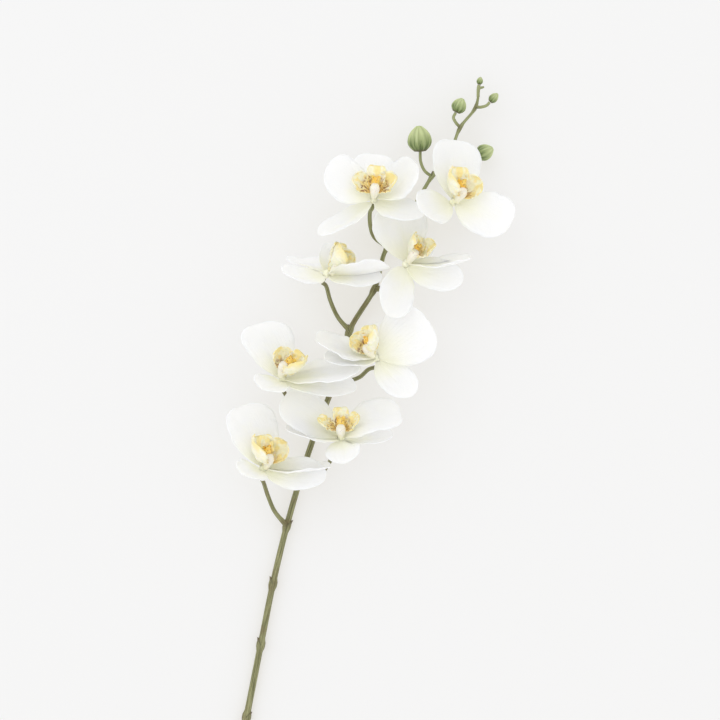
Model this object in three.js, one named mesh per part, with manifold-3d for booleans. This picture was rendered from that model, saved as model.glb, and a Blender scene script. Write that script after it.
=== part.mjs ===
import * as THREE from "three";
import Module from "manifold-3d";

// A cut stem of moth orchid lying down, with eight open blooms and five buds. Millimetres and
// degrees. The stalk runs along +Y from its cut end and +Z is up. Headings are measured from +X
// towards +Y as seen from above, and rises are measured up from the level. Places are given from
// the cut end, and the finished stem is then moved to stand over the middle of its box.

const wasm = await Module();
wasm.setup();

// The stalk: middle points and radius from the cut end to the tip.
const CUT_RADIUS = 3.0;
const STALK_PATH = [
  [0, 0, CUT_RADIUS],
  [-9, 50, 3.8],
  [-16, 99, 4.6],
  [-27, 170, 5.6],
  [-35, 223, 6.2],
  [-40.5, 273, 6.8],
  [-44, 329, 7.6],
  [-44.5, 371, 8],
  [-44, 400, 8],
  [-47, 448, 8.5],
  [-39, 491, 9.5],
  [-41.5, 523, 10],
  [-36, 547, 11],
  [-30, 575, 12.5],
  [-25.5, 598, 14],
  [-18, 618, 15.5],
  [-17, 646, 17],
  [-10.5, 667, 18],
  [-14, 686, 18.5],
];
const STALK_SIDES = 8;
const STALK_MIDDLE_RADIUS = 2.4;
const STALK_TIP_RADIUS = 1.1;
const STALK_THIN_FROM = 0.62;
const STALK_STEPS = 230;
const PLAIN_RING_EVERY = 13;

// Joints of the stalk: place along its length, side the bract stands on, length of the bract.
const JOINTS = [
  { at: [-14.5, 101], side: 60, bract: 7 },
  { at: [-26, 164.5], side: 140, bract: 8 },
  { at: [-33.5, 218], side: 160, bract: 8 },
  { at: [-41, 270], side: 20, bract: 8 },
  { at: [-43.5, 316], side: 20, bract: 7 },
  { at: [-44.5, 373], side: 150, bract: 7 },
  { at: [-44, 402], side: 20, bract: 7 },
  { at: [-47, 448], side: 170, bract: 7 },
  { at: [-39, 489.5], side: 10, bract: 7 },
  { at: [-41, 528], side: 160, bract: 6 },
  { at: [-32.5, 563], side: 10, bract: 6 },
  { at: [-25.5, 598], side: 150, bract: 5 },
  { at: [-18, 618], side: 20, bract: 5 },
  { at: [-17, 646], side: 150, bract: 4 },
  { at: [-10.5, 667], side: 20, bract: 4 },
];
const JOINT_SWELL = 0.38;
const JOINT_REACH = 2;
const BRACT_THICKNESS = 0.9;
const BRACT_LEAN = 22;
const BRACT_RISE = 10;
const BRACT_SINK = 1.5;
const BRACT_FORM = { base: 0.25, tip: 0.75, cup: 0.45, wave: 0 };

// Flower stalks, and the short stump of a dried bud below the topmost one.
const PEDICEL_ROOT_RADIUS = 1.9;
const PEDICEL_TIP_RADIUS = 1.7;
const PEDICEL_SIDES = 6;
const PEDICEL_RINGS = 6;
const PEDICEL_APPROACH = 4;
const PEDICEL_GAP = 1;
const BUD_STEM_ROOT_RADIUS = 1.4;
const BUD_STEM_TIP_RADIUS = 1.26;
const STUMP = [[-13.2, 682.5, 18.5], [-11.8, 684.2, 18.6], [-9.6, 685.8, 18.6]];
const STUMP_RADIUS = 1;

// One bloom: a small drum in the middle that everything springs from, then five white tepals.
const GAP = 0.35;
const HUB_RADIUS = 4.2;
const HUB_SIDES = 8;
const HUB_RINGS = [
  { along: -1, radius: 0.3 },
  { along: -0.6, radius: 0.85 },
  { along: 0.6, radius: 0.85 },
  { along: 1, radius: 0.3 },
];
const TEPAL_THICKNESS = 0.8;
const TEPAL_COLUMNS = 4;
const ROOT_OFFSET = 2;
const TURNED_DROP = 3.5;
const PETAL = { rows: 7, base: 0.75, tip: 0.42, cup: 0.2, wave: 1.3, ahead: 0.4 };
const SEPAL = { rows: 5, base: 0.62, tip: 0.5, cup: 0.22, wave: 0.8, ahead: -1.6 };
const PHASE_STEP = 2.4;

// How every blade narrows, curls and waves, and where its surface is taken as plain.
const ROOT_WIDTH_SHARE = 0.1;
const CURL_PIVOT = 0.35;
const SPINE_STEPS = 60;
const WAVES = 1.5;
const SLOPE_STEP = 0.02;
const SLOPE_LAST = 0.97;
const PLAIN_FROM = 0.9;
const PLAIN_HALF_WIDTH = 1;

// Lobes of a lip. Each kind springs from its own height above the middle of the lip.
const SIDE = { rows: 4, base: 0.5, tip: 0.28, cup: 0.5, wave: 1.5, up: 2 };
const MIDDLE = { rows: 4, base: 0.42, tip: 0.2, cup: 0.4, wave: 1.2, up: 3 };

// Each tepal: kind, heading, rise, turn about its own axis, curl, length, width. Each lobe of a
// lip: kind, turn to the right, lift away from the column, roll of its face towards the right,
// curl, length, width.
const BLOOMS = [
  {
    name: "bloom_1",
    hub: [-76, 311.5, 40],
    facing: [92, 56],
    lip: {
      size: 1.3,
      facing: [85, 47, 40],
      lobes: [
        [SIDE, 44, 10, -66, 50, 20, 16],
        [SIDE, -40, 3, 94, 60, 25, 21],
        [MIDDLE, -8, 32, 0, -30, 18, 14],
      ],
    },
    pedicel: [[-41, 270, 8], [-54, 278, 14], [-64, 289, 20], [-72, 300, 29]],
    tepals: [
      [PETAL, 128, 0, 0, -30, 55, 54],
      [PETAL, 19, 5, 28, 22, 57, 47],
      [SEPAL, -152, 58, 0, 0, 29, 30],
      [SEPAL, 14, 8, -20, 14, 54, 34],
      [SEPAL, 98, -50, 0, 0, 43, 32],
    ],
  },
  {
    name: "bloom_2",
    hub: [-22, 359, 44],
    facing: [123, 52],
    lip: {
      size: 1.04,
      facing: [112, 47, 0],
      lobes: [
        [SIDE, 52, 10, -70, 45, 21, 14],
        [SIDE, -60, 10, 75, 30, 22, 11],
        [MIDDLE, 0, 36, 10, -30, 19, 13],
      ],
    },
    pedicel: [[-43.5, 316, 8], [-30, 321, 14], [-25, 331, 22], [-23, 345, 31]],
    tepals: [
      [PETAL, 167, 2, 0, 0, 58, 48],
      [PETAL, 47, 10, 5, -55, 55, 50],
      [SEPAL, -170, 18, -15, 10, 49, 34],
      [SEPAL, -62, 58, 0, 0, 34, 30],
      [SEPAL, 24, 4, 10, 10, 42, 28],
    ],
  },
  {
    name: "bloom_3",
    hub: [-86, 389, 42],
    facing: [102, 54],
    lip: {
      size: 1.38,
      facing: [97, 46, -38],
      lobes: [
        [SIDE, 36, 2, -90, 45, 23, 17],
        [SIDE, -40, 10, 68, 50, 17, 13],
        [MIDDLE, 8, 34, 0, -30, 16, 12],
      ],
    },
    pedicel: [[-44.5, 373, 8], [-60, 371, 15], [-75, 374, 24], [-83, 380, 31]],
    tepals: [
      [PETAL, 135, -10, -5, -20, 52, 52],
      [PETAL, 27, 10, 10, 5, 66, 52],
      [SEPAL, 126, -40, 0, 0, 44, 34],
      [SEPAL, -138, 54, 0, 0, 29, 32],
      [SEPAL, 14, 10, -5, 0, 62, 34],
    ],
  },
  {
    name: "bloom_4",
    hub: [-17.5, 433.5, 44],
    facing: [128, 52],
    lip: {
      size: 1.22,
      facing: [146, 50, -38],
      lobes: [
        [SIDE, 34, 3, -94, 50, 23, 17],
        [SIDE, -40, 10, 66, 50, 19, 15],
        [MIDDLE, 5, 34, 0, -30, 18, 13],
      ],
    },
    pedicel: [[-44, 402, 8], [-34, 406, 15], [-25, 413, 23], [-20, 422, 31]],
    tepals: [
      [PETAL, 54, 4, -32, 0, 53, 56],
      [PETAL, 186, 14, -15, 20, 54, 49],
      [SEPAL, -158, 24, -5, 10, 46, 34],
      [SEPAL, -27, 30, 0, 25, 50, 31],
      [SEPAL, 112, -48, 0, 0, 44, 32],
    ],
  },
  {
    name: "bloom_5",
    hub: [-81.5, 486.5, 42],
    facing: [80, 60],
    lip: {
      size: 1.16,
      facing: [64, 56, 50],
      lobes: [
        [SIDE, 40, 10, -63, 50, 20, 15],
        [SIDE, -20, 0, 98, 60, 22, 20],
        [MIDDLE, 0, 30, 0, -30, 19, 14],
      ],
    },
    pedicel: [[-47, 448, 8], [-60, 455, 15], [-71, 466, 22], [-79, 477, 31]],
    tepals: [
      [PETAL, 166, -56, 10, 0, 45.5, 44],
      [PETAL, 24, 18, 36, 18, 54, 46],
      [SEPAL, -156, 38, -10, 35, 45, 33],
      [SEPAL, 13, 15, -8, 12, 48, 33],
      [SEPAL, 80, -50, 0, 0, 44, 32],
    ],
  },
  {
    name: "bloom_6",
    hub: [-21, 518, 42],
    facing: [80, 50],
    lip: {
      size: 1.12,
      facing: [73, 54, 15],
      lobes: [
        [SIDE, 34, 5, -80, 50, 23, 17],
        [SIDE, -26, 0, 92, 40, 22, 14],
        [MIDDLE, 0, 36, 0, -30, 17, 12],
      ],
    },
    pedicel: [[-39, 489.5, 9], [-31, 492, 16], [-25, 498, 24], [-21, 506, 33]],
    tepals: [
      [PETAL, 122, 2, 10, 10, 51, 54],
      [PETAL, 20, 10, 28, 30, 55, 46],
      [SEPAL, 3, 5, -25, 25, 50, 32],
      [SEPAL, -88, 25, 15, 10, 50, 34],
      [SEPAL, 80, -48, 0, 0, 44, 32],
    ],
  },
  {
    name: "bloom_7",
    hub: [-65.5, 559.5, 49],
    facing: [100, 52],
    lip: {
      size: 1.15,
      facing: [104, 45, 0],
      lobes: [
        [SIDE, 52, 10, -72, 45, 21, 16],
        [SIDE, -62, 10, 62, 40, 20, 15],
        [MIDDLE, 0, 36, 0, -30, 19, 14],
      ],
    },
    pedicel: [[-41, 528, 9], [-54, 531, 16], [-61, 539, 23], [-65, 549, 32]],
    tepals: [
      [PETAL, 168, 12, 24, 22, 48, 44],
      [PETAL, 53, 5, 5, 50, 47, 48],
      [SEPAL, 108, -33, 0, -15, 50, 40],
      [SEPAL, -125, 10, -20, 20, 54, 33],
      [SEPAL, -3, 28, -5, 25, 50, 33],
    ],
  },
  {
    name: "bloom_8",
    hub: [-1, 581, 42],
    facing: [77, 45],
    lip: {
      size: 1.34,
      facing: [75, 43, 38],
      lobes: [
        [SIDE, 46, 10, -68, 50, 19, 15],
        [SIDE, -40, 3, 92, 50, 24, 18],
        [MIDDLE, -6, 34, 0, -30, 18, 13],
      ],
    },
    pedicel: [[-32.5, 563, 11.8], [-22, 567, 16], [-11, 570, 22], [-4, 574, 30]],
    tepals: [
      [PETAL, 108, -5, 0, -15, 52, 48],
      [PETAL, -4, 15, -15, 0, 52, 50],
      [SEPAL, -145, 48, 10, 30, 50, 34],
      [SEPAL, -17, -49.6, 0, 0, 50, 33],
      [SEPAL, 72, -44, 0, 0, 44, 32],
    ],
  },
];

// The lip: a swollen throat that carries three lobes.
const LIP_START = HUB_RADIUS + 0.6;
const LOBE_THICKNESS = 1.1;
const LOBE_COLUMNS = 2;
const LOBE_ROOT = 2;
const THROAT = [
  { forward: 0, up: 1.4, radius: 2.2 },
  { forward: 4, up: 2.4, radius: 2.6 },
  { forward: 8, up: 3.6, radius: 3.9 },
  { forward: 11.5, up: 4.2, radius: 3.6 },
  { forward: 13.5, up: 4.4, radius: 1.8 },
];

// The column: a rounded rod that stands over the throat, thicker towards its cap.
const COLUMN = { down: 3.4, radii: [2.4, 3, 3.6, 4.1, 4.1, 3], step: 2.3, arch: 0.95 };
const ROUND_SIDES = 8;

// Buds: flower stalk, then length, width and how deep the grooves between the sepals are.
const BUDS = [
  {
    name: "bud_1",
    stem: [[-25.5, 598, 14], [-33, 600, 18], [-39, 606, 21], [-42.5, 614, 23]],
    size: [21.5, 20.3, 0.05],
  },
  {
    name: "bud_2",
    stem: [[-18, 618, 15.5], [-8, 620, 15], [1, 624, 14.5], [5, 628, 14.5]],
    size: [15, 14, 0.04],
  },
  {
    name: "bud_3",
    stem: [[-17, 646, 17], [-22, 648.5, 18], [-25.5, 652, 18.5], [-25, 656.5, 19]],
    size: [13, 12.5, 0.04],
  },
  {
    name: "bud_4",
    stem: [[-10.5, 667, 18], [-6, 668.5, 19], [-2, 671.5, 19.5], [-0.5, 675, 20]],
    size: [9.5, 7.5, 0.03],
  },
  {
    name: "bud_5",
    stem: [[-11.5, 676, 18.3], [-13, 680, 18.5], [-14, 683, 18.6], [-14.4, 686, 18.7]],
    size: [6.5, 5.5, 0.03],
  },
];
const BUD_OUTLINE = [0.5, 0.84, 1, 0.99, 0.88, 0.64, 0.24];
const BUD_RIDGES = 5;
const BUD_SIDES = 2 * BUD_RIDGES;

// Colours.
const STALK_GREEN = 0x7f8058;
const TEPAL_WHITE = 0xf6f6f2;
const LIP_YELLOW = 0xf3d983;
const COLUMN_CREAM = 0xf4efe0;
const BUD_GREEN = 0x8fa868;

const DEG = Math.PI / 180;

function vec(list) {
  return new THREE.Vector3(...list);
}

// Unit vector with a heading and a rise above the level.
function direction(heading, rise) {
  const level = Math.cos(rise * DEG);
  return new THREE.Vector3(
    level * Math.cos(heading * DEG),
    level * Math.sin(heading * DEG),
    Math.sin(rise * DEG),
  );
}

// Closed solid from points and triangles.
function manifoldFrom(points, triangles) {
  const mesh = new wasm.Mesh({
    numProp: 3,
    vertProperties: new Float32Array(points.flatMap((p) => [p.x, p.y, p.z])),
    triVerts: new Uint32Array(triangles.flat()),
  });
  return new wasm.Manifold(mesh);
}

// Index loop round the open edge of a grid of rows that ends in one tip point.
function rimOf(rows, columns) {
  const at = (i, j) => i * columns + j;
  const last = rows - 1;
  const rim = [];
  for (let j = columns - 1; j >= 0; j -= 1) rim.push(at(0, j));
  for (let i = 1; i <= last; i += 1) rim.push(at(i, 0));
  rim.push(rows * columns);
  for (let i = last; i > 0; i -= 1) rim.push(at(i, columns - 1));
  return rim;
}

// Triangles of the same grid.
function facesOf(rows, columns) {
  const at = (i, j) => i * columns + j;
  const last = rows - 1;
  const faces = [];
  for (let j = 0; j < columns - 1; j += 1) {
    for (let i = 0; i < last; i += 1) {
      faces.push([at(i, j), at(i + 1, j), at(i + 1, j + 1)]);
      faces.push([at(i, j), at(i + 1, j + 1), at(i, j + 1)]);
    }
    faces.push([at(last, j), rows * columns, at(last, j + 1)]);
  }
  return faces;
}

// Closed sheet of even thickness over a grid of middle points, split alike on both faces.
function sheet(points, normals, rows, columns, thickness) {
  const both = [1, -1].flatMap((side) =>
    points.map((p, k) => p.clone().addScaledVector(normals[k], (side * thickness) / 2)),
  );
  const under = points.length;
  const triangles = [];
  for (const [a, b, c] of facesOf(rows, columns)) {
    triangles.push([a, b, c]);
    triangles.push([a + under, c + under, b + under]);
  }
  const rim = rimOf(rows, columns);
  rim.forEach((a, k) => {
    const b = rim[(k + 1) % rim.length];
    triangles.push([a, b + under, b]);
    triangles.push([a, a + under, b + under]);
  });
  return manifoldFrom(both, triangles);
}

// Width of a blade along its length, 1 at the widest place.
function widthShare(form, s) {
  const { base, tip } = form;
  const widest = base / (base + tip);
  const share = (s ** base * (1 - s) ** tip) / (widest ** base * (1 - widest) ** tip);
  return Math.max(share, ROOT_WIDTH_SHARE * Math.sqrt(1 - s));
}

// Bent middle line of a blade, as distances along its axis and along its normal.
function spineOf(long, bend) {
  const step = long / SPINE_STEPS;
  const places = [[0, 0]];
  for (let k = 0; k < SPINE_STEPS; k += 1) {
    const angle = bend * ((k + 0.5) / SPINE_STEPS - CURL_PIVOT);
    const [x, z] = places[k];
    places.push([x + Math.cos(angle) * step, z + Math.sin(angle) * step]);
  }
  return places;
}

// Middle surface of a blade: s runs from its root to its tip, v from edge to edge.
function surfaceOf({ root, axis, normal, form, long, wide, curl, phase }) {
  const across = new THREE.Vector3().crossVectors(normal, axis);
  const bend = curl * DEG;
  const spine = spineOf(long, bend);
  return (s, v) => {
    const at = Math.min(s * SPINE_STEPS, SPINE_STEPS - 1e-6);
    const k = Math.floor(at);
    const x = THREE.MathUtils.lerp(spine[k][0], spine[k + 1][0], at - k);
    const z = THREE.MathUtils.lerp(spine[k][1], spine[k + 1][1], at - k);
    const angle = bend * (s - CURL_PIVOT);
    const half = (wide / 2) * widthShare(form, s);
    const ripple = form.wave * Math.sin(2 * Math.PI * WAVES * s + phase + v) * Math.sin(Math.PI * s);
    const lift = (form.cup * half + ripple) * v * v;
    return root
      .clone()
      .addScaledVector(axis, x - Math.sin(angle) * lift)
      .addScaledVector(normal, z + Math.cos(angle) * lift)
      .addScaledVector(across, half * v);
  };
}

// Upright of a blade's surface. Near the tip and where it is narrow, that of its middle line.
function uprightOf(surface, { axis, normal, form, wide, curl }, s, v) {
  const half = (wide / 2) * widthShare(form, s);
  if (s > PLAIN_FROM || half < PLAIN_HALF_WIDTH) {
    const angle = curl * DEG * (s - CURL_PIVOT);
    return normal.clone().multiplyScalar(Math.cos(angle)).addScaledVector(axis, -Math.sin(angle));
  }
  const left = surface(s, Math.max(v - SLOPE_STEP, -1));
  const right = surface(s, Math.min(v + SLOPE_STEP, 1));
  const back = surface(Math.max(s - SLOPE_STEP, 0), v);
  const front = surface(Math.min(s + SLOPE_STEP, SLOPE_LAST), v);
  const upright = new THREE.Vector3().crossVectors(front.sub(back), right.sub(left)).normalize();
  return upright.dot(normal) < 0 ? upright.negate() : upright;
}

// A curved, cupped and waved blade that grows from a point along an axis.
function blade(spec) {
  const { rows, columns, thickness } = spec;
  const surface = surfaceOf(spec);
  const points = [];
  const uprights = [];
  for (let i = 0; i < rows; i += 1) {
    const t = i / rows;
    const s = (t + Math.sin((t * Math.PI) / 2)) / 2;
    for (let j = 0; j <= columns; j += 1) {
      const v = (2 * j) / columns - 1;
      points.push(surface(s, v));
      uprights.push(uprightOf(surface, spec, s, v));
    }
  }
  points.push(surface(1, 0));
  uprights.push(uprightOf(surface, spec, 1, 0));
  return sheet(points, uprights, rows, columns + 1, thickness);
}

// One ring of points round a middle point, with lengthwise ridges where a depth is given.
function ringOf(middle, side, other, radius, sides, ridge) {
  const ring = [];
  for (let k = 0; k < sides; k += 1) {
    const turn = (2 * Math.PI * k) / sides;
    const reach = radius * (1 + ridge * Math.cos(BUD_RIDGES * turn));
    const point = middle.clone().addScaledVector(side, Math.cos(turn) * reach);
    ring.push(point.addScaledVector(other, Math.sin(turn) * reach));
  }
  return ring;
}

// A rod through given points, with a radius at each ring and flat ends.
function rod(points, radii, sides, ridge = 0) {
  const lastRing = points.length - 1;
  let side = new THREE.Vector3(0, 0, 1);
  const all = points.flatMap((p, i) => {
    const before = points[Math.max(i - 1, 0)];
    const after = points[Math.min(i + 1, lastRing)];
    const along = after.clone().sub(before).normalize();
    side = side.clone().addScaledVector(along, -side.dot(along)).normalize();
    const other = new THREE.Vector3().crossVectors(along, side);
    return ringOf(p, side, other, radii[i], sides, ridge);
  });
  const first = all.push(points[0].clone()) - 1;
  const last = all.push(points[lastRing].clone()) - 1;
  const top = lastRing * sides;
  const triangles = [];
  for (let k = 0; k < sides; k += 1) {
    const next = (k + 1) % sides;
    triangles.push([first, next, k]);
    triangles.push([last, top + k, top + next]);
    for (let a = 0; a < top; a += sides) {
      triangles.push([a + k, a + next, a + sides + next]);
      triangles.push([a + k, a + sides + next, a + sides + k]);
    }
  }
  return manifoldFrom(all, triangles);
}

// Points at even steps on a smooth curve.
function curvePoints(path, count) {
  const curve = new THREE.CatmullRomCurve3(path.map(vec), false, "centripetal");
  return curve.getSpacedPoints(count);
}

// Radius of the stalk between its joints.
function plainRadius(s) {
  const { lerp } = THREE.MathUtils;
  if (s < STALK_THIN_FROM) return lerp(CUT_RADIUS, STALK_MIDDLE_RADIUS, s / STALK_THIN_FROM);
  const share = (s - STALK_THIN_FROM) / (1 - STALK_THIN_FROM);
  return lerp(STALK_MIDDLE_RADIUS, STALK_TIP_RADIUS, share);
}

// Step along the stalk that lies nearest to a place seen from above.
function nearestStep(points, [x, y]) {
  const distances = points.map((p) => Math.hypot(p.x - x, p.y - y));
  return distances.indexOf(Math.min(...distances));
}

// Bract: a short pointed scale that hugs the stalk.
function bract(centre, along, side, length, radius) {
  const out = side.clone().addScaledVector(along, -side.dot(along)).normalize();
  const lean = BRACT_LEAN * DEG;
  const axis = along.clone().multiplyScalar(Math.cos(lean)).addScaledVector(out, Math.sin(lean));
  const inward = along.clone().multiplyScalar(Math.sin(lean)).addScaledVector(out, -Math.cos(lean));
  return blade({
    root: centre.clone().addScaledVector(out, radius / 2).addScaledVector(along, -BRACT_SINK),
    axis,
    normal: inward,
    form: BRACT_FORM,
    long: length,
    wide: radius * 2,
    curl: 10,
    phase: 0,
    rows: 2,
    columns: 2,
    thickness: BRACT_THICKNESS,
  });
}

// Axes of a bloom or of its lip: forward, up on the lip's side of the column, and right.
function axesFor(heading, tilt, spin) {
  const forward = direction(heading, 90 - tilt);
  const level = direction(heading, 0);
  const up = level.addScaledVector(forward, -level.dot(forward)).normalize();
  up.applyAxisAngle(forward, spin * DEG);
  const right = new THREE.Vector3().crossVectors(up, forward);
  return { forward, up, right };
}

function pedicel(path, rootRadius, tipRadius) {
  const points = curvePoints(path, PEDICEL_RINGS);
  const radii = points.map((p, i) => THREE.MathUtils.lerp(rootRadius, tipRadius, i / PEDICEL_RINGS));
  return rod(points, radii, PEDICEL_SIDES);
}

// Flower stalk that comes up behind a bloom and ends just short of its hub.
function bloomPedicel(bloom) {
  const { forward } = axesFor(...bloom.facing, 0);
  const end = vec(bloom.hub).addScaledVector(forward, -HUB_RADIUS - PEDICEL_GAP);
  const before = end.clone().addScaledVector(forward, -PEDICEL_APPROACH);
  const path = [...bloom.pedicel, before.toArray(), end.toArray()];
  return pedicel(path, PEDICEL_ROOT_RADIUS, PEDICEL_TIP_RADIUS);
}

// The bare stalk, swollen at each joint.
function bareStalk(fine, joints) {
  const points = [];
  const radii = [];
  fine.forEach((p, i) => {
    const offset = joints.map((k) => i - k).find((d) => Math.abs(d) <= JOINT_REACH);
    const isPlain = offset === undefined;
    const isEnd = i === 0 || i === STALK_STEPS;
    if (offset === 0 || (isPlain && !isEnd && i % PLAIN_RING_EVERY)) return;
    const swell = Math.abs(offset) === 1 ? JOINT_SWELL : 0;
    points.push(p);
    radii.push(plainRadius(i / STALK_STEPS) * (1 + swell));
  });
  return rod(points, radii, STALK_SIDES);
}

// The stalk with its bracts, and every flower stalk that grows out of its joints.
function stalk() {
  const fine = curvePoints(STALK_PATH, STALK_STEPS);
  const joints = JOINTS.map((spec) => nearestStep(fine, spec.at));
  let solid = bareStalk(fine, joints);
  JOINTS.forEach((spec, n) => {
    const k = joints[n];
    const along = fine[k + 1].clone().sub(fine[k - 1]).normalize();
    const radius = plainRadius(k / STALK_STEPS) * (1 + JOINT_SWELL);
    solid = solid.add(bract(fine[k], along, direction(spec.side, BRACT_RISE), spec.bract, radius));
  });
  for (const bloom of BLOOMS) solid = solid.add(bloomPedicel(bloom));
  for (const spec of BUDS) {
    solid = solid.add(pedicel(spec.stem, BUD_STEM_ROOT_RADIUS, BUD_STEM_TIP_RADIUS));
  }
  return solid.add(pedicel(STUMP, STUMP_RADIUS, STUMP_RADIUS));
}

function hub(bloom, facing) {
  const middle = vec(bloom.hub);
  const points = HUB_RINGS.map((ring) =>
    middle.clone().addScaledVector(facing, ring.along * HUB_RADIUS),
  );
  return rod(points, HUB_RINGS.map((ring) => ring.radius * HUB_RADIUS), HUB_SIDES);
}

// One white tepal. One that is turned on edge springs from lower on the hub.
function tepal(bloom, values, phase) {
  const [form, heading, rise, turn, curl, long, wide] = values;
  const { forward, up } = axesFor(...bloom.facing, 0);
  const axis = direction(heading, rise);
  const normal = forward.clone().addScaledVector(axis, -forward.dot(axis)).normalize();
  normal.applyAxisAngle(axis, -turn * DEG);
  const root = vec(bloom.hub)
    .addScaledVector(axis, ROOT_OFFSET)
    .addScaledVector(forward, form.ahead)
    .addScaledVector(up, -Math.abs(Math.sin(turn * DEG)) * TURNED_DROP);
  return blade({
    root,
    axis,
    normal,
    form,
    long,
    wide,
    curl,
    phase,
    rows: form.rows,
    columns: TEPAL_COLUMNS,
    thickness: TEPAL_THICKNESS,
  });
}

function tepals(bloom, index) {
  const { forward } = axesFor(...bloom.facing, 0);
  let solid = hub(bloom, forward);
  bloom.tepals.forEach((values, k) => {
    solid = solid.add(tepal(bloom, values, PHASE_STEP * k + index));
  });
  return solid;
}

// Point of a lip or column: distances forward, up and to the right of the hub's middle.
function lipPoint(bloom, forward, up, right) {
  const axes = axesFor(...bloom.lip.facing);
  return vec(bloom.hub)
    .addScaledVector(axes.forward, forward)
    .addScaledVector(axes.up, up)
    .addScaledVector(axes.right, right);
}

// One lobe of a lip. Its face looks past the column, or to the side it is rolled to.
function lobe(bloom, index, values, grow) {
  const [form, turn, lift, roll, curl, long, wide] = values;
  const { size } = bloom.lip;
  const { forward, up, right } = axesFor(...bloom.lip.facing);
  const level = forward.clone().multiplyScalar(Math.cos(turn * DEG));
  level.addScaledVector(right, Math.sin(turn * DEG));
  const axis = level.multiplyScalar(Math.cos(lift * DEG)).addScaledVector(up, Math.sin(lift * DEG));
  const normal = axis.clone().multiplyScalar(up.dot(axis)).sub(up).normalize();
  return blade({
    root: lipPoint(bloom, LIP_START + LOBE_ROOT, form.up, Math.sign(turn)),
    axis,
    normal: normal.applyAxisAngle(axis, roll * DEG),
    form,
    long: long * size + grow,
    wide: wide * size + 2 * grow,
    curl,
    phase: index + Math.sign(turn),
    rows: form.rows,
    columns: LOBE_COLUMNS,
    thickness: LOBE_THICKNESS + 2 * grow,
  });
}

function throat(bloom, grow) {
  const { size } = bloom.lip;
  const points = THROAT.map((ring) =>
    lipPoint(bloom, LIP_START + ring.forward * size - grow, ring.up, 0),
  );
  return rod(points, THROAT.map((ring) => ring.radius + grow), ROUND_SIDES);
}

// A lip, or the room it needs where it is grown by a gap.
function lip(bloom, index, grow = 0) {
  let solid = throat(bloom, grow);
  for (const values of bloom.lip.lobes) solid = solid.add(lobe(bloom, index, values, grow));
  return solid;
}

// A column, or the room it needs where it is grown by a gap.
function column(bloom, grow = 0) {
  const { down, radii, step, arch } = COLUMN;
  const last = radii.length - 1;
  const points = radii.map((radius, i) => {
    const end = i === 0 ? -grow : 0;
    const ahead = LIP_START + i * step * bloom.lip.size + (i === last ? grow : end);
    return lipPoint(bloom, ahead, arch * (i / last) ** 2 - down, 0);
  });
  return rod(points, radii.map((radius) => radius + grow), ROUND_SIDES);
}

// A bud on its flower stalk: flat at its foot, pointed at its top, grooved between its sepals.
function bud({ stem, size: [long, wide, ridge] }) {
  const foot = vec(stem[stem.length - 1]);
  const along = foot.clone().sub(vec(stem[stem.length - 2])).normalize();
  const last = BUD_OUTLINE.length - 1;
  const points = BUD_OUTLINE.map((share, i) =>
    foot.clone().addScaledVector(along, GAP + (long * i) / last),
  );
  return rod(points, BUD_OUTLINE.map((share) => (share * wide) / 2), BUD_SIDES, ridge);
}

// Mesh of the largest body of a solid.
function meshOf(solid, name, colour, roughness) {
  const bodies = solid.decompose().sort((a, b) => b.volume() - a.volume());
  const { vertProperties, triVerts } = bodies[0].getMesh();
  const geometry = new THREE.BufferGeometry();
  geometry.setAttribute("position", new THREE.BufferAttribute(vertProperties, 3));
  geometry.setIndex(new THREE.BufferAttribute(triVerts, 1));
  geometry.computeVertexNormals();
  const material = new THREE.MeshStandardMaterial({ color: colour, roughness, metalness: 0 });
  const mesh = new THREE.Mesh(geometry, material);
  mesh.name = name;
  return mesh;
}

// The whole stem over the middle of its own box, with its lowest point on the surface.
function orchidStem() {
  const group = new THREE.Group();
  group.name = "moth_orchid_stem";
  group.add(meshOf(stalk(), "stalk", STALK_GREEN, 0.6));
  BLOOMS.forEach((bloom, index) => {
    const room = lip(bloom, index, GAP).add(column(bloom, GAP));
    const white = tepals(bloom, index).subtract(room);
    const yellow = lip(bloom, index).subtract(column(bloom, GAP));
    group.add(meshOf(white, `${bloom.name}_tepals`, TEPAL_WHITE, 0.55));
    group.add(meshOf(yellow, `${bloom.name}_lip`, LIP_YELLOW, 0.5));
    group.add(meshOf(column(bloom), `${bloom.name}_column`, COLUMN_CREAM, 0.5));
  });
  for (const spec of BUDS) group.add(meshOf(bud(spec), spec.name, BUD_GREEN, 0.55));
  const box = new THREE.Box3().setFromObject(group);
  const middle = box.getCenter(new THREE.Vector3());
  for (const mesh of group.children) mesh.geometry.translate(-middle.x, -middle.y, -box.min.z);
  return group;
}

export default orchidStem();
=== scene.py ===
import math

import bpy
import numpy as np
from mathutils import Matrix, Vector


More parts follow.
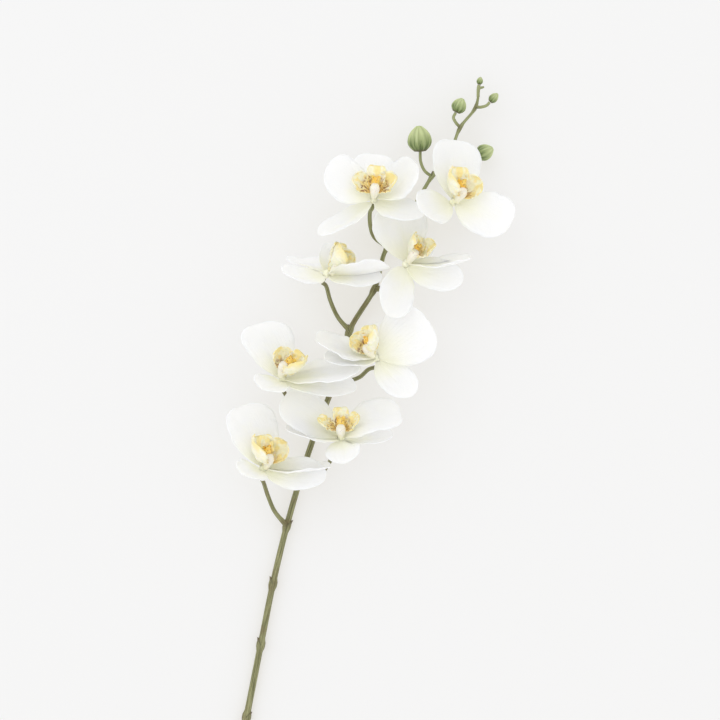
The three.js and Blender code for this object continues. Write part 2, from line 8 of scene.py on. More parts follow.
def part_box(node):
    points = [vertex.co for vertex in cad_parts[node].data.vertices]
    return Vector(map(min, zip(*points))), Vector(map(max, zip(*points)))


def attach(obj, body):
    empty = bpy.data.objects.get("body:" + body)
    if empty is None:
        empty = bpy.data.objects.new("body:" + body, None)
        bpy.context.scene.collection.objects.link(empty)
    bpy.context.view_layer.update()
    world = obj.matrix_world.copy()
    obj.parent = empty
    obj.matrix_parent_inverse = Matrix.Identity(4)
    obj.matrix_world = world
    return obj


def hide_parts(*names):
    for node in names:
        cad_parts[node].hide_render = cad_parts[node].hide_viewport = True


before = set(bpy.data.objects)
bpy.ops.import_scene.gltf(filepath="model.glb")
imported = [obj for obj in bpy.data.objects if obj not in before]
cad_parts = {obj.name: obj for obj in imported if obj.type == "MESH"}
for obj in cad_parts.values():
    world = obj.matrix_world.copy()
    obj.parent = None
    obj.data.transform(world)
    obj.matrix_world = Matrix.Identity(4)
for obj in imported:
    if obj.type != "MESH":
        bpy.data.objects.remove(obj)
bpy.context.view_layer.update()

# Stalk: the flower spike of the orchid, one green stem that swells at every joint and carries
# a thinner flower stalk from most of them. It was cut off at its lower end.
# Places are in millimetres from the cut end, +Y along the stalk and +Z up.
MM = 0.001
# Low corner of the stalk's box in the layout, which ties the layout to the frame.
STALK_LOW_CORNER = Vector((-86.5957, -0.5408, 0.0004))
LAYOUT_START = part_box("stalk")[0] - STALK_LOW_CORNER * MM
CUT_RADIUS = 3.0
STALK_MIDDLE_RADIUS = 2.4
STALK_TIP_RADIUS = 1.1
STALK_THIN_FROM = 0.62
# Where the paler young end begins and where it is full, in metres along the frame.
YOUNG_FROM = 0.12
YOUNG_TO = 0.27
STALK_PATH = [
    (0, 0, CUT_RADIUS),
    (-9, 50, 3.8),
    (-16, 99, 4.6),
    (-27, 170, 5.6),
    (-35, 223, 6.2),
    (-40.5, 273, 6.8),
    (-44, 329, 7.6),
    (-44.5, 371, 8),
    (-44, 400, 8),
    (-47, 448, 8.5),
    (-39, 491, 9.5),
    (-41.5, 523, 10),
    (-36, 547, 11),
    (-30, 575, 12.5),
    (-25.5, 598, 14),
    (-18, 618, 15.5),
    (-17, 646, 17),
    (-10.5, 667, 18),
    (-14, 686, 18.5),
]
# Joints: place seen from above, side the bract stands on, length of the bract.
JOINTS = [
    ((-14.5, 101), 60, 7),
    ((-26, 164.5), 140, 8),
    ((-33.5, 218), 160, 8),
    ((-41, 270), 20, 8),
    ((-43.5, 316), 20, 7),
    ((-44.5, 373), 150, 7),
    ((-44, 402), 20, 7),
    ((-47, 448), 170, 7),
    ((-39, 489.5), 10, 7),
    ((-41, 528), 160, 6),
    ((-32.5, 563), 10, 6),
    ((-25.5, 598), 150, 5),
    ((-18, 618), 20, 5),
    ((-17, 646), 150, 4),
    ((-10.5, 667), 20, 4),
]
JOINT_SWELL = 0.42
JOINT_HALF_LENGTH = 4.2
STEM_STEP = 2.0
CURVE_SAMPLES = 25
FEWEST_STEPS = 4
HUB_RADIUS = 4.2
# Flower stalks: straight stretch and gap behind the hub, then radius, taper and flared root.
FLOWER_STALK_APPROACH = 4
FLOWER_STALK_GAP = 1
FLOWER_STALK_RADIUS = 1.9
FLOWER_STALK_TAPER = 0.2
FLOWER_STALK_FLARE = 0.5
FLARE_SHARPNESS = 8
FLOWER_STALK_PATHS = [
    [(-41, 270, 8), (-54, 278, 14), (-64, 289, 20), (-72, 300, 29)],
    [(-43.5, 316, 8), (-30, 321, 14), (-25, 331, 22), (-23, 345, 31)],
    [(-44.5, 373, 8), (-60, 371, 15), (-75, 374, 24), (-83, 380, 31)],
    [(-44, 402, 8), (-34, 406, 15), (-25, 413, 23), (-20, 422, 31)],
    [(-47, 448, 8), (-60, 455, 15), (-71, 466, 22), (-79, 477, 31)],
    [(-39, 489.5, 9), (-31, 492, 16), (-25, 498, 24), (-21, 506, 33)],
    [(-41, 528, 9), (-54, 531, 16), (-61, 539, 23), (-65, 549, 32)],
    [(-32.5, 563, 11.8), (-22, 567, 16), (-11, 570, 22), (-4, 574, 30)],
]
# Each bloom: middle of its hub, heading and tilt that it faces.
BLOOM_PLACES = [
    ((-76, 311.5, 40), 92, 56),
    ((-22, 359, 44), 123, 52),
    ((-86, 389, 42), 102, 54),
    ((-17.5, 433.5, 44), 128, 52),
    ((-81.5, 486.5, 42), 80, 60),
    ((-21, 518, 42), 80, 50),
    ((-65.5, 559.5, 49), 100, 52),
    ((-1, 581, 42), 77, 45),
]
BUD_STALK_PATHS = [
    [(-25.5, 598, 14), (-33, 600, 18), (-39, 606, 21), (-42.5, 614, 23)],
    [(-18, 618, 15.5), (-8, 620, 15), (1, 624, 14.5), (5, 628, 14.5)],
    [(-17, 646, 17), (-22, 648.5, 18), (-25.5, 652, 18.5), (-25, 656.5, 19)],
    [(-10.5, 667, 18), (-6, 668.5, 19), (-2, 671.5, 19.5), (-0.5, 675, 20)],
    [(-11.5, 676, 18.3), (-13, 680, 18.5), (-14, 683, 18.6), (-14.4, 686, 18.7)],
]
BUD_STALK_STEP = 1.0
BUD_STALK_RADII = (1.4, 1.26)
STUMP_PATH = [(-13.2, 682.5, 18.5), (-11.8, 684.2, 18.6), (-9.6, 685.8, 18.6)]
STUMP_STEP = 0.8
STUMP_SHARES = [0, 0.6, 1]
STUMP_RADII = [0.9, 1.1, 0.8]


def direction(heading, rise):
    """Unit vector from a heading seen from above and a rise above the level, in degrees."""
    h, r = math.radians(heading), math.radians(rise)
    return Vector((math.cos(r) * math.cos(h), math.cos(r) * math.sin(h), math.sin(r)))


def axes_for(heading, tilt, spin):
    """Forward, up and right of a bloom or of its lip."""
    forward = direction(heading, 90 - tilt)
    level = direction(heading, 0)
    up = (level - forward * level.dot(forward)).normalized()
    up.rotate(Matrix.Rotation(math.radians(spin), 3, forward))
    return forward, up, up.cross(forward)


def smooth_path(corners, step):
    """Evenly spaced points on a smooth curve through the corners, in any number of axes."""
    knots = np.array([tuple(corner) for corner in corners], float)
    knots = np.vstack([2 * knots[0] - knots[1], knots, 2 * knots[-1] - knots[-2]])
    gaps = np.sqrt(np.linalg.norm(np.diff(knots, axis=0), axis=1))
    pieces = []
    for k in range(len(knots) - 3):
        a, b, c, d = knots[k : k + 4]
        before, here, after = gaps[k : k + 3]
        leave = (b - a) / before - (c - a) / (before + here) + (c - b) / here
        arrive = (c - b) / here - (d - b) / (here + after) + (d - c) / after
        t = np.linspace(0, 1, CURVE_SAMPLES)[:, None]
        cubic = 2 * (b - c) + here * (leave + arrive)
        square = 3 * (c - b) - here * (2 * leave + arrive)
        pieces.append(b + t * (here * leave + t * (square + t * cubic)))
    line = np.vstack([piece[:-1] for piece in pieces] + [knots[-2:-1]])
    run = np.concatenate([[0], np.cumsum(np.linalg.norm(np.diff(line, axis=0), axis=1))])
    stops = np.linspace(0, run[-1], max(int(run[-1] / step), FEWEST_STEPS) + 1)
    return np.stack([np.interp(stops, run, column) for column in line.T], axis=1)


def stalk_radii(points):
    """Radius at each point of the stalk, with the swellings of its joints."""
    share = np.linspace(0, 1, len(points))
    radii = np.interp(
        share, [0, STALK_THIN_FROM, 1], [CUT_RADIUS, STALK_MIDDLE_RADIUS, STALK_TIP_RADIUS]
    )
    run = share * (len(points) - 1) * STEM_STEP
    for place, _, _ in JOINTS:
        nearest = np.argmin(np.linalg.norm(points[:, :2] - place, axis=1))
        distance = (run - run[nearest]) / JOINT_HALF_LENGTH
        radii *= 1 + JOINT_SWELL * np.exp(-(distance**4))
    return radii


class Reading:
    """A number that changes over a surface, with the sums that node trees are made of."""

    def __init__(self, tree, socket):
        self.tree = tree
        self.socket = socket

    def step(self, operation, *others):
        node = self.tree.nodes.new("ShaderNodeMath")
        node.operation = operation
        for socket, value in zip(node.inputs, (self, *others)):
            if isinstance(value, Reading):
                self.tree.links.new(value.socket, socket)
            else:
                socket.default_value = value
        return Reading(self.tree, node.outputs[0])

    def __add__(self, other):
        return self.step("ADD", other)

    def __sub__(self, other):
        return self.step("SUBTRACT", other)

    def __mul__(self, other):
        return self.step("MULTIPLY", other)

    def __truediv__(self, other):
        return self.step("DIVIDE", other)

    def __pow__(self, other):
        return self.step("POWER", other)

    def sin(self):
        return self.step("SINE")

    def cos(self):
        return self.step("COSINE")

    def exp(self):
        return self.step("EXPONENT")

    def size(self):
        return self.step("ABSOLUTE")

    def at_least(self, low):
        return self.step("MAXIMUM", low)

    def at_most(self, high):
        return self.step("MINIMUM", high)

    def other_share(self):
        """One minus the reading."""
        return self * -1 + 1

    def ramp(self, low, high):
        """Smooth rise from 0 at low to 1 at high, or the fall where high is the smaller."""
        node = self.tree.nodes.new("ShaderNodeMapRange")
        node.interpolation_type = "SMOOTHSTEP"
        self.tree.links.new(self.socket, node.inputs["Value"])
        node.inputs["From Min"].default_value = min(low, high)
        node.inputs["From Max"].default_value = max(low, high)
        node.inputs["To Min"].default_value = 0.0 if low < high else 1.0
        node.inputs["To Max"].default_value = 1.0 if low < high else 0.0
        return Reading(self.tree, node.outputs["Result"])


def new_tree(name, kind, inputs, outputs):
    """Node group with named inputs (name, socket type, value) and outputs."""
    tree = bpy.data.node_groups.new(name, kind)
    for socket_name, socket_type, value in inputs:
        socket = tree.interface.new_socket(socket_name, in_out="INPUT", socket_type=socket_type)
        if value is not None:
            socket.default_value = value
    for socket_name, socket_type in outputs:
        tree.interface.new_socket(socket_name, in_out="OUTPUT", socket_type=socket_type)
    given = tree.nodes.new("NodeGroupInput")
    result = tree.nodes.new("NodeGroupOutput")
    return tree, given, result


def node_after(tree, kind, incoming, **links):
    """Node of a kind that takes its first input from a socket, and others by name."""
    node = tree.nodes.new(kind)
    tree.links.new(incoming, node.inputs[0])
    for name, source in links.items():
        tree.links.new(source, node.inputs[name.replace("_", " ")])
    return node


def store(tree, geometry, name, value, kind="FLOAT"):
    """Geometry with a value kept on its points under a name."""
    node = node_after(tree, "GeometryNodeStoreNamedAttribute", geometry)
    node.data_type = kind
    node.inputs["Name"].default_value = name
    tree.links.new(value, node.inputs["Value"])
    return node.outputs[0]


def finished(tree, geometry, given, result):
    """Ends a tree: smooth, real geometry with its material."""
    smooth = node_after(tree, "GeometryNodeSetShadeSmooth", geometry)
    real = node_after(tree, "GeometryNodeRealizeInstances", smooth.outputs[0])
    painted = node_after(
        tree, "GeometryNodeSetMaterial", real.outputs[0], Material=given.outputs["Material"]
    )
    tree.links.new(painted.outputs[0], result.inputs[0])


def round_stem_tree():
    """Round stem that follows a curve at the curve's own radius."""
    tree, given, result = new_tree(
        "round_stem",
        "GeometryNodeTree",
        [
            ("Curve", "NodeSocketGeometry", None),
            ("Sides", "NodeSocketInt", 18),
            ("Material", "NodeSocketMaterial", None),
        ],
        [("Stem", "NodeSocketGeometry")],
    )
    spline = tree.nodes.new("GeometryNodeSplineParameter")
    line = store(tree, given.outputs["Curve"], "run", spline.outputs["Length"])
    circle = node_after(tree, "GeometryNodeCurvePrimitiveCircle", given.outputs["Sides"])
    circle.inputs["Radius"].default_value = 1.0
    around = tree.nodes.new("GeometryNodeSplineParameter")
    ring = store(tree, circle.outputs["Curve"], "turn", around.outputs["Factor"])
    radius = tree.nodes.new("GeometryNodeInputRadius")
    stem = node_after(
        tree,
        "GeometryNodeCurveToMesh",
        line,
        Profile_Curve=ring,
        Scale=radius.outputs[0],
    )
    stem.inputs["Fill Caps"].default_value = True
    finished(tree, stem.outputs[0], given, result)
    return tree


def settle(obj, tree, **values):
    """Runs an object's tree and modifiers once and leaves a plain mesh."""
    modifier = obj.modifiers.new(tree.name, "NODES")
    modifier.node_group = tree
    for item in tree.interface.items_tree:
        key = item.name.lower().replace(" ", "_")
        if item.in_out == "INPUT" and key in values:
            modifier[item.identifier] = values[key]
    obj.modifiers.move(len(obj.modifiers) - 1, 0)
    bpy.context.view_layer.update()
    mesh = bpy.data.meshes.new_from_object(
        obj.evaluated_get(bpy.context.evaluated_depsgraph_get())
    )
    name = obj.name
    bpy.data.objects.remove(obj)
    plain = bpy.data.objects.new(name, mesh)
    bpy.context.scene.collection.objects.link(plain)
    return plain


def place(point):
    """Place in the frame of a point of the layout."""
    return LAYOUT_START + Vector(point) * MM


def stems(name, lines, material):
    """One mesh of round stems, from (points in millimetres, radii) pairs."""
    curve = bpy.data.curves.new(name, "CURVE")
    curve.dimensions = "3D"
    for points, radii in lines:
        spline = curve.splines.new("POLY")
        spline.points.add(len(points) - 1)
        for dot, point, radius in zip(spline.points, points, radii):
            dot.co = (*place(point), 1)
            dot.radius = radius * MM
    obj = bpy.data.objects.new(name, curve)
    bpy.context.scene.collection.objects.link(obj)
    return settle(obj, ROUND_STEM, material=material)


def mixed(tree, share, first, second):
    """Colour between two, each a socket or a plain colour."""
    node = tree.nodes.new("ShaderNodeMix")
    node.data_type = "RGBA"
    tree.links.new(share.socket, node.inputs[0])
    for socket, value in zip((node.inputs[6], node.inputs[7]), (first, second)):
        if isinstance(value, tuple):
            socket.default_value = (*value, 1)
        else:
            tree.links.new(value, socket)
    return node.outputs[2]


def noise(tree, vector, scale, detail):
    """Even noise between 0 and 1 at a scale."""
    node = tree.nodes.new("ShaderNodeTexNoise")
    node.inputs["Scale"].default_value = scale
    node.inputs["Detail"].default_value = detail
    tree.links.new(vector, node.inputs["Vector"])
    return Reading(tree, node.outputs["Fac"])


def joined_vector(tree, *parts):
    """Vector from three readings."""
    node = tree.nodes.new("ShaderNodeCombineXYZ")
    for socket, part in zip(node.inputs, parts):
        tree.links.new(part.socket, socket)
    return node.outputs[0]


def attribute(tree, name):
    """Value kept on a mesh, as a reading."""
    node = tree.nodes.new("ShaderNodeAttribute")
    node.attribute_name = name
    return Reading(tree, node.outputs["Fac"])


def place_on_piece(tree):
    """Place of a point in its own piece."""
    node = tree.nodes.new("ShaderNodeTexCoord")
    return node.outputs["Object"]


def skin_group():
    """Fine grain of living skin: soft cells and wide faint clouds."""
    tree, given, result = new_tree(
        "plant_skin",
        "ShaderNodeTree",
        [("Cells", "NodeSocketFloat", 900.0), ("Clouds", "NodeSocketFloat", 60.0)],
        [("Height", "NodeSocketFloat"), ("Cloud", "NodeSocketFloat")],
    )
    vector = place_on_piece(tree)
    cells = tree.nodes.new("ShaderNodeTexVoronoi")
    tree.links.new(vector, cells.inputs["Vector"])
    tree.links.new(given.outputs["Cells"], cells.inputs["Scale"])
    clouds = tree.nodes.new("ShaderNodeTexNoise")
    tree.links.new(vector, clouds.inputs["Vector"])
    tree.links.new(given.outputs["Clouds"], clouds.inputs["Scale"])
    tree.links.new(cells.outputs["Distance"], result.inputs["Height"])
    tree.links.new(clouds.outputs["Fac"], result.inputs["Cloud"])
    return tree


def skin(tree, cells, clouds):
    """Height and cloud readings of the skin group at a material's own scales."""
    node = tree.nodes.new("ShaderNodeGroup")
    node.node_tree = PLANT_SKIN
    node.inputs["Cells"].default_value = cells
    node.inputs["Clouds"].default_value = clouds
    return Reading(tree, node.outputs["Height"]), Reading(tree, node.outputs["Cloud"])


def new_material(name):
    """Empty material: its tree and its one surface shader."""
    material = bpy.data.materials.new(name)
    material.use_nodes = True
    return material, material.node_tree, material.node_tree.nodes["Principled BSDF"]


def surface(tree, shader, colour, roughness, height, distance):
    """Connects colour, roughness and relief to a surface shader."""
    tree.links.new(colour, shader.inputs["Base Color"])
    tree.links.new(roughness.socket, shader.inputs["Roughness"])
    bump = tree.nodes.new("ShaderNodeBump")
    bump.inputs["Distance"].default_value = distance
    tree.links.new(height.socket, bump.inputs["Height"])
    tree.links.new(bump.outputs["Normal"], shader.inputs["Normal"])


def stalk_material():
    """Olive green skin with lengthwise fibres, brown flushes and joints, and a paler young end."""
    material, tree, shader = new_material("stalk_green")
    run = attribute(tree, "run")
    turn = attribute(tree, "turn") * (2 * math.pi)
    around = joined_vector(tree, turn.cos() * 1.6, turn.sin() * 1.6, run * 14)
    fibres = noise(tree, around, 4.0, 4.0)
    height, cloud = skin(tree, 1400.0, 90.0)
    split = node_after(tree, "ShaderNodeSeparateXYZ", place_on_piece(tree))
    young = Reading(tree, split.outputs["Y"]).ramp(YOUNG_FROM, YOUNG_TO)
    green = mixed(tree, fibres.ramp(0.36, 0.62), (0.125, 0.125, 0.048), (0.36, 0.355, 0.175))
    flushed = mixed(tree, cloud.ramp(0.5, 0.7) * 0.55, green, (0.20, 0.155, 0.075))
    pale = mixed(tree, fibres.ramp(0.3, 0.65), (0.24, 0.26, 0.11), (0.43, 0.46, 0.23))
    aged = mixed(tree, young, flushed, pale)
    knotted = attribute(tree, "joint") * cloud.ramp(0.35, 0.6) * 0.6
    colour = mixed(tree, knotted, aged, (0.14, 0.11, 0.05))
    surface(tree, shader, colour, cloud * 0.2 + 0.45, fibres + height * 0.3, 0.0006)
    shader.inputs["Specular IOR Level"].default_value = 0.4
    return material


def mark_joints(stem):
    """Marks a stem from 1 at each joint to 0 away from it."""
    points = np.empty(3 * len(stem.data.vertices))
    stem.data.vertices.foreach_get("co", points)
    level = points.reshape(-1, 3)[:, :2]
    nearness = np.zeros(len(level))
    for spot, _, _ in JOINTS:
        reach = np.linalg.norm(level - place((*spot, 0))[:2], axis=1) / (JOINT_HALF_LENGTH * MM)
        nearness = np.maximum(nearness, np.exp(-(reach**2)))
    mark = stem.data.attributes.new("joint", "FLOAT", "POINT")
    mark.data.foreach_set("value", nearness)


def flower_stalk_lines():
    """Paths and radii of the flower stalks of all blooms and buds, and of the dried stump."""
    lines = []
    for path, (hub, heading, tilt) in zip(FLOWER_STALK_PATHS, BLOOM_PLACES):
        forward = axes_for(heading, tilt, 0)[0]
        end = Vector(hub) - forward * (HUB_RADIUS + FLOWER_STALK_GAP)
        points = smooth_path([*path, end - forward * FLOWER_STALK_APPROACH, end], STEM_STEP)
        share = np.linspace(0, 1, len(points))
        flare = FLOWER_STALK_FLARE * np.exp(-((share * FLARE_SHARPNESS) ** 2))
        lines.append((points, FLOWER_STALK_RADIUS - FLOWER_STALK_TAPER * share + flare))
    for path in BUD_STALK_PATHS:
        points = smooth_path(path, BUD_STALK_STEP)
        lines.append((points, np.linspace(*BUD_STALK_RADII, len(points))))
    points = smooth_path(STUMP_PATH, STUMP_STEP)
    share = np.linspace(0, 1, len(points))
    lines.append((points, np.interp(share, STUMP_SHARES, STUMP_RADII)))
    return lines


ROUND_STEM = round_stem_tree()
PLANT_SKIN = skin_group()
stalk_points = smooth_path(STALK_PATH, STEM_STEP)
STALK_GREEN = stalk_material()
spike = stems(
    "flower_spike",
    [(stalk_points, stalk_radii(stalk_points)), *flower_stalk_lines()],
    STALK_GREEN,
)
mark_joints(spike)
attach(spike, "root")
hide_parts("stalk")

# Bracts: short pointed scales, one at each joint, that hug the stalk and have dried at the tip.
# They are thin blades, so the tree that shapes every blade of the plant is made here.
BRACT_LEAN = 15
BRACT_RISE = 10
BRACT_SINK = 1.5
BRACT_OUT = 0.55
BRACT_THICKNESS = 0.6
BRACT_CURL = 10
BLADE_PIVOT = 0.35
BLADE_WAVES = 1.5
RUFFLE_PACE = 30
RIM_FROM = 0.62
RIM_GAIN = 2.6
GROOVE_SHARPNESS = -45
FOLD_PACE = 11
FOLD_DEPTH = 0.25
ROOT_WIDTH_SHARE = 0.1


def blade_tree():
    """Blade along +X, its width along Y and its face up: cupped, curled, waved and ruffled."""
    floats = [
        ("Length", 0.05),
        ("Width", 0.04),
        ("Base", 0.7),
        ("Tip", 0.4),
        ("Cup", 0.2),
        ("Wave", 0.001),
        ("Ruffle", 0.0004),
        ("Rim", 0.0),
        ("Groove", 0.0006),
        ("Phase", 0.0),
        ("Curl", 0.1),
        ("Crumple", 0.0),
    ]
    tree, given, result = new_tree(
        "blade",
        "GeometryNodeTree",
        [(name, "NodeSocketFloat", value) for name, value in floats]
        + [
            ("Rows", "NodeSocketInt", 44),
            ("Columns", "NodeSocketInt", 27),
            ("Material", "NodeSocketMaterial", None),
        ],
        [("Blade", "NodeSocketGeometry")],
    )
    read = {name: Reading(tree, given.outputs[name]) for name, _ in floats}
    grid = tree.nodes.new("GeometryNodeMeshGrid")
    tree.links.new(given.outputs["Columns"], grid.inputs["Vertices X"])
    tree.links.new(given.outputs["Rows"], grid.inputs["Vertices Y"])
    split = node_after(
        tree, "ShaderNodeSeparateXYZ", tree.nodes.new("GeometryNodeInputPosition").outputs[0]
    )
    even = Reading(tree, split.outputs["Y"]) + 0.5
    s = ((even * (math.pi / 2)).sin() + even) * 0.5
    v = Reading(tree, split.outputs["X"]) * 2
    rest = s.other_share().at_least(0)
    widest = read["Base"] / (read["Base"] + read["Tip"])
    peak = (widest ** read["Base"]) * (widest.other_share() ** read["Tip"])
    share = (s.at_least(0.00001) ** read["Base"]) * (rest ** read["Tip"]) / peak
    half = share.at_least(rest**0.5 * ROOT_WIDTH_SHARE) * read["Width"] * 0.5
    angle = read["Curl"] * (s - BLADE_PIVOT)
    start = read["Curl"] * BLADE_PIVOT
    x = (angle.sin() + start.sin()) / read["Curl"] * read["Length"]
    z = (start.cos() - angle.cos()) / read["Curl"] * read["Length"]
    swell = (s * math.pi).sin()
    ripple = read["Wave"] * (s * (2 * math.pi * BLADE_WAVES) + read["Phase"] + v).sin() * swell
    ruffle = read["Ruffle"] * (s * RUFFLE_PACE + read["Phase"] * 3 + v * 2).sin() * swell
    roll = read["Rim"] * ((v.size() - RIM_FROM).at_least(0) * RIM_GAIN) ** 2 * swell
    valley = (v * v * GROOVE_SHARPNESS).exp() * rest * swell * read["Groove"]
    folds = (v * FOLD_PACE + read["Phase"]).cos() * swell * read["Groove"] * FOLD_DEPTH
    dents = noise(tree, joined_vector(tree, s * 2.6, v * 1.5, read["Phase"]), 1.5, 1.0) - 0.5
    folds = folds + dents * read["Crumple"] * swell
    square = v * v
    lift = (read["Cup"] * half + ripple) * square + ruffle * square * square + roll - valley + folds
    place_in_blade = joined_vector(
        tree, x - angle.sin() * lift, half * v, z + angle.cos() * lift
    )
    stored = store(
        tree,
        grid.outputs["Mesh"],
        "blade",
        joined_vector(tree, s, v, read["Phase"]),
        "FLOAT_VECTOR",
    )
    bent = node_after(tree, "GeometryNodeSetPosition", stored, Position=place_in_blade)
    closed = node_after(tree, "GeometryNodeMergeByDistance", bent.outputs[0])
    closed.inputs["Distance"].default_value = 0.00001
    finished(tree, closed.outputs[0], given, result)
    return tree


BLADE = blade_tree()


def blade(name, root, axis, normal, thickness, material, curl, **values):
    """Mesh of one blade that grows from a root in millimetres along an axis.

    Its points are marked 1 on its upper face and 0 on its back.
    """
    empty = bpy.data.meshes.new(name)
    obj = bpy.data.objects.new(name, empty)
    bpy.context.scene.collection.objects.link(obj)
    wall = obj.modifiers.new("thickness", "SOLIDIFY")
    wall.thickness = thickness * MM
    wall.offset = 0
    lengths = {"length", "width", "wave", "ruffle", "rim", "groove", "crumple"}
    scaled = {key: float(v * MM) if key in lengths else v for key, v in values.items()}
    turned = math.radians(curl if curl else 0.1)
    obj = settle(obj, BLADE, material=material, curl=turned, **scaled)
    heights = np.empty(3 * len(obj.data.vertices))
    obj.data.vertices.foreach_get("co", heights)
    first, second = np.split(heights[2::3], 2)
    is_upper = np.repeat([first.mean() > second.mean(), first.mean() <= second.mean()], len(first))
    face = obj.data.attributes.new("face", "FLOAT", "POINT")
    face.data.foreach_set("value", is_upper.astype(float))
    across = normal.cross(axis)
    turn = Matrix((axis, across, normal)).transposed().to_4x4()
    obj.data.transform(Matrix.Translation(place(root)) @ turn)
    return obj


def join(name, parts):
    """One piece from several meshes."""
    with bpy.context.temp_override(
        active_object=parts[0], selected_editable_objects=parts, selected_objects=parts
    ):
        bpy.ops.object.join()
    parts[0].name = name
    parts[0].data.name = name
    return parts[0]


def blade_readings(tree):
    """Along, across and phase of the blade that a point is on."""
    node = tree.nodes.new("ShaderNodeAttribute")
    node.attribute_name = "blade"
    split = node_after(tree, "ShaderNodeSeparateXYZ", node.outputs["Vector"])
    return [Reading(tree, socket) for socket in split.outputs]


def bract_material():
    """Green at the foot, straw brown towards the dry tip."""
    material, tree, shader = new_material("bract_straw")
    s, v, _ = blade_readings(tree)
    height, cloud = skin(tree, 1500.0, 120.0)
    lines = (v * 26).sin() * 0.5 + 0.5
    green = mixed(tree, lines * 0.4, (0.13, 0.13, 0.06), (0.30, 0.29, 0.15))
    colour = mixed(tree, (s + cloud * 0.3).ramp(0.55, 1.1), green, (0.19, 0.14, 0.07))
    surface(tree, shader, colour, cloud * 0.2 + 0.5, lines + height * 0.4, 0.0002)
    return material


def bracts():
    """The bract of every joint, on the side that it stands on."""
    straw = bract_material()
    lean = math.radians(BRACT_LEAN)
    radii = stalk_radii(stalk_points)
    for number, (spot, side, length) in enumerate(JOINTS):
        k = int(np.argmin(np.linalg.norm(stalk_points[:, :2] - spot, axis=1)))
        along = Vector(stalk_points[k + 1] - stalk_points[k - 1]).normalized()
        out = direction(side, BRACT_RISE)
        out = (out - along * out.dot(along)).normalized()
        yield blade(
            f"bract_{number}",
            Vector(stalk_points[k]) + out * (radii[k] * BRACT_OUT) - along * BRACT_SINK,
            along * math.cos(lean) + out * math.sin(lean),
            along * math.sin(lean) - out * math.cos(lean),
            BRACT_THICKNESS,
            straw,
            BRACT_CURL,
            length=length,
            width=2.0 * radii[k],
            base=0.25,
            tip=0.75,
            cup=0.45,
            wave=0.0,
            ruffle=0.0,
            groove=0.1,
            phase=float(number),
            rows=14,
            columns=9,
        )


stalk_bracts = join("stalk_bracts", list(bracts()))
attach(stalk_bracts, "root")
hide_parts("stalk")

# Petals and sepals: every bloom has two broad petals and three narrower sepals behind them, all
# white, thin and slightly waxy, with a faint green and cream tint at their root. They spring
# from one small hub on the end of the flower stalk.
PETAL = {"base": 0.75, "tip": 0.42, "cup": 0.2, "wave": 1.3, "ruffle": 0.45, "rim": -0.9}
SEPAL = {"base": 0.62, "tip": 0.5, "cup": 0.22, "wave": 0.8, "ruffle": 0.25, "rim": -0.5}
PETAL_AHEAD = 0.4
SEPAL_AHEAD = -1.6
# Hub: distance along its axis and radius, as shares of its size, and its place on a blade.
HUB_OUTLINE = [(-1, 0.1), (-0.9, 0.35), (-0.6, 0.7), (0, 0.82), (0.6, 0.66), (0.9, 0.3), (1, 0.1)]
HUB_TINT = [0.2, 0.3, 0.0]
ROOT_OFFSET = 2
TURNED_DROP = 3.5
TEPAL_THICKNESS = 0.7
TEPAL_GROOVE = 0.8
TEPAL_GRID = {"rows": 42, "columns": 27}
PHASE_STEP = 2.4
# Each one: kind, heading, rise, turn about its own axis, curl, length, width.
TEPALS = [
    [
        (PETAL, 128, 0, 0, -30, 55, 54),
        (PETAL, 19, 5, 28, 22, 57, 47),
        (SEPAL, -152, 58, 0, 0, 29, 30),
        (SEPAL, 14, 8, -20, 14, 54, 34),
        (SEPAL, 98, -50, 0, 0, 43, 32),
    ],
    [
        (PETAL, 167, 2, 0, 0, 58, 48),
        (PETAL, 47, 10, 5, -55, 55, 50),
        (SEPAL, -170, 18, -15, 10, 49, 34),
        (SEPAL, -62, 58, 0, 0, 34, 30),
        (SEPAL, 24, 4, 10, 10, 42, 28),
    ],
    [
        (PETAL, 135, -10, -5, -20, 52, 52),
        (PETAL, 27, 10, 10, 5, 66, 52),
        (SEPAL, 126, -40, 0, 0, 44, 34),
        (SEPAL, -138, 54, 0, 0, 29, 32),
        (SEPAL, 14, 10, -5, 0, 62, 34),
    ],
    [
        (PETAL, 54, 4, -32, 0, 53, 56),
        (PETAL, 186, 14, -15, 20, 54, 49),
        (SEPAL, -158, 24, -5, 10, 46, 34),
        (SEPAL, -27, 30, 0, 25, 50, 31),
        (SEPAL, 112, -48, 0, 0, 44, 32),
    ],
    [
        (PETAL, 166, -56, 10, 0, 45.5, 44),
        (PETAL, 24, 18, 36, 18, 54, 46),
        (SEPAL, -156, 38, -10, 35, 45, 33),
        (SEPAL, 13, 15, -8, 12, 48, 33),
        (SEPAL, 80, -50, 0, 0, 44, 32),
    ],
    [
        (PETAL, 122, -1, 10, 10, 50, 54),
        (PETAL, 20, 10, 28, 30, 55, 46),
        (SEPAL, 3, 5, -25, 25, 50, 32),
        (SEPAL, -88, 25, 15, 10, 50, 34),
        (SEPAL, 80, -48, 0, 0, 44, 32),
    ],
    [
        (PETAL, 168, 12, 24, 22, 48, 44),
        (PETAL, 53, 5, 5, 50, 47, 48),
        (SEPAL, 108, -33, 0, -15, 50, 40),
        (SEPAL, -125, 10, -20, 20, 54, 33),
        (SEPAL, -3, 28, -5, 25, 50, 33),
    ],
    [
        (PETAL, 108, -5, 0, -15, 52, 48),
        (PETAL, -4, 15, -15, 0, 52, 50),
        (SEPAL, -145, 49, 10, 30, 50, 34),
        (SEPAL, -17, -49.6, 0, 0, 50, 33),
        (SEPAL, 72, -44, 0, 0, 44, 32),
    ],
]


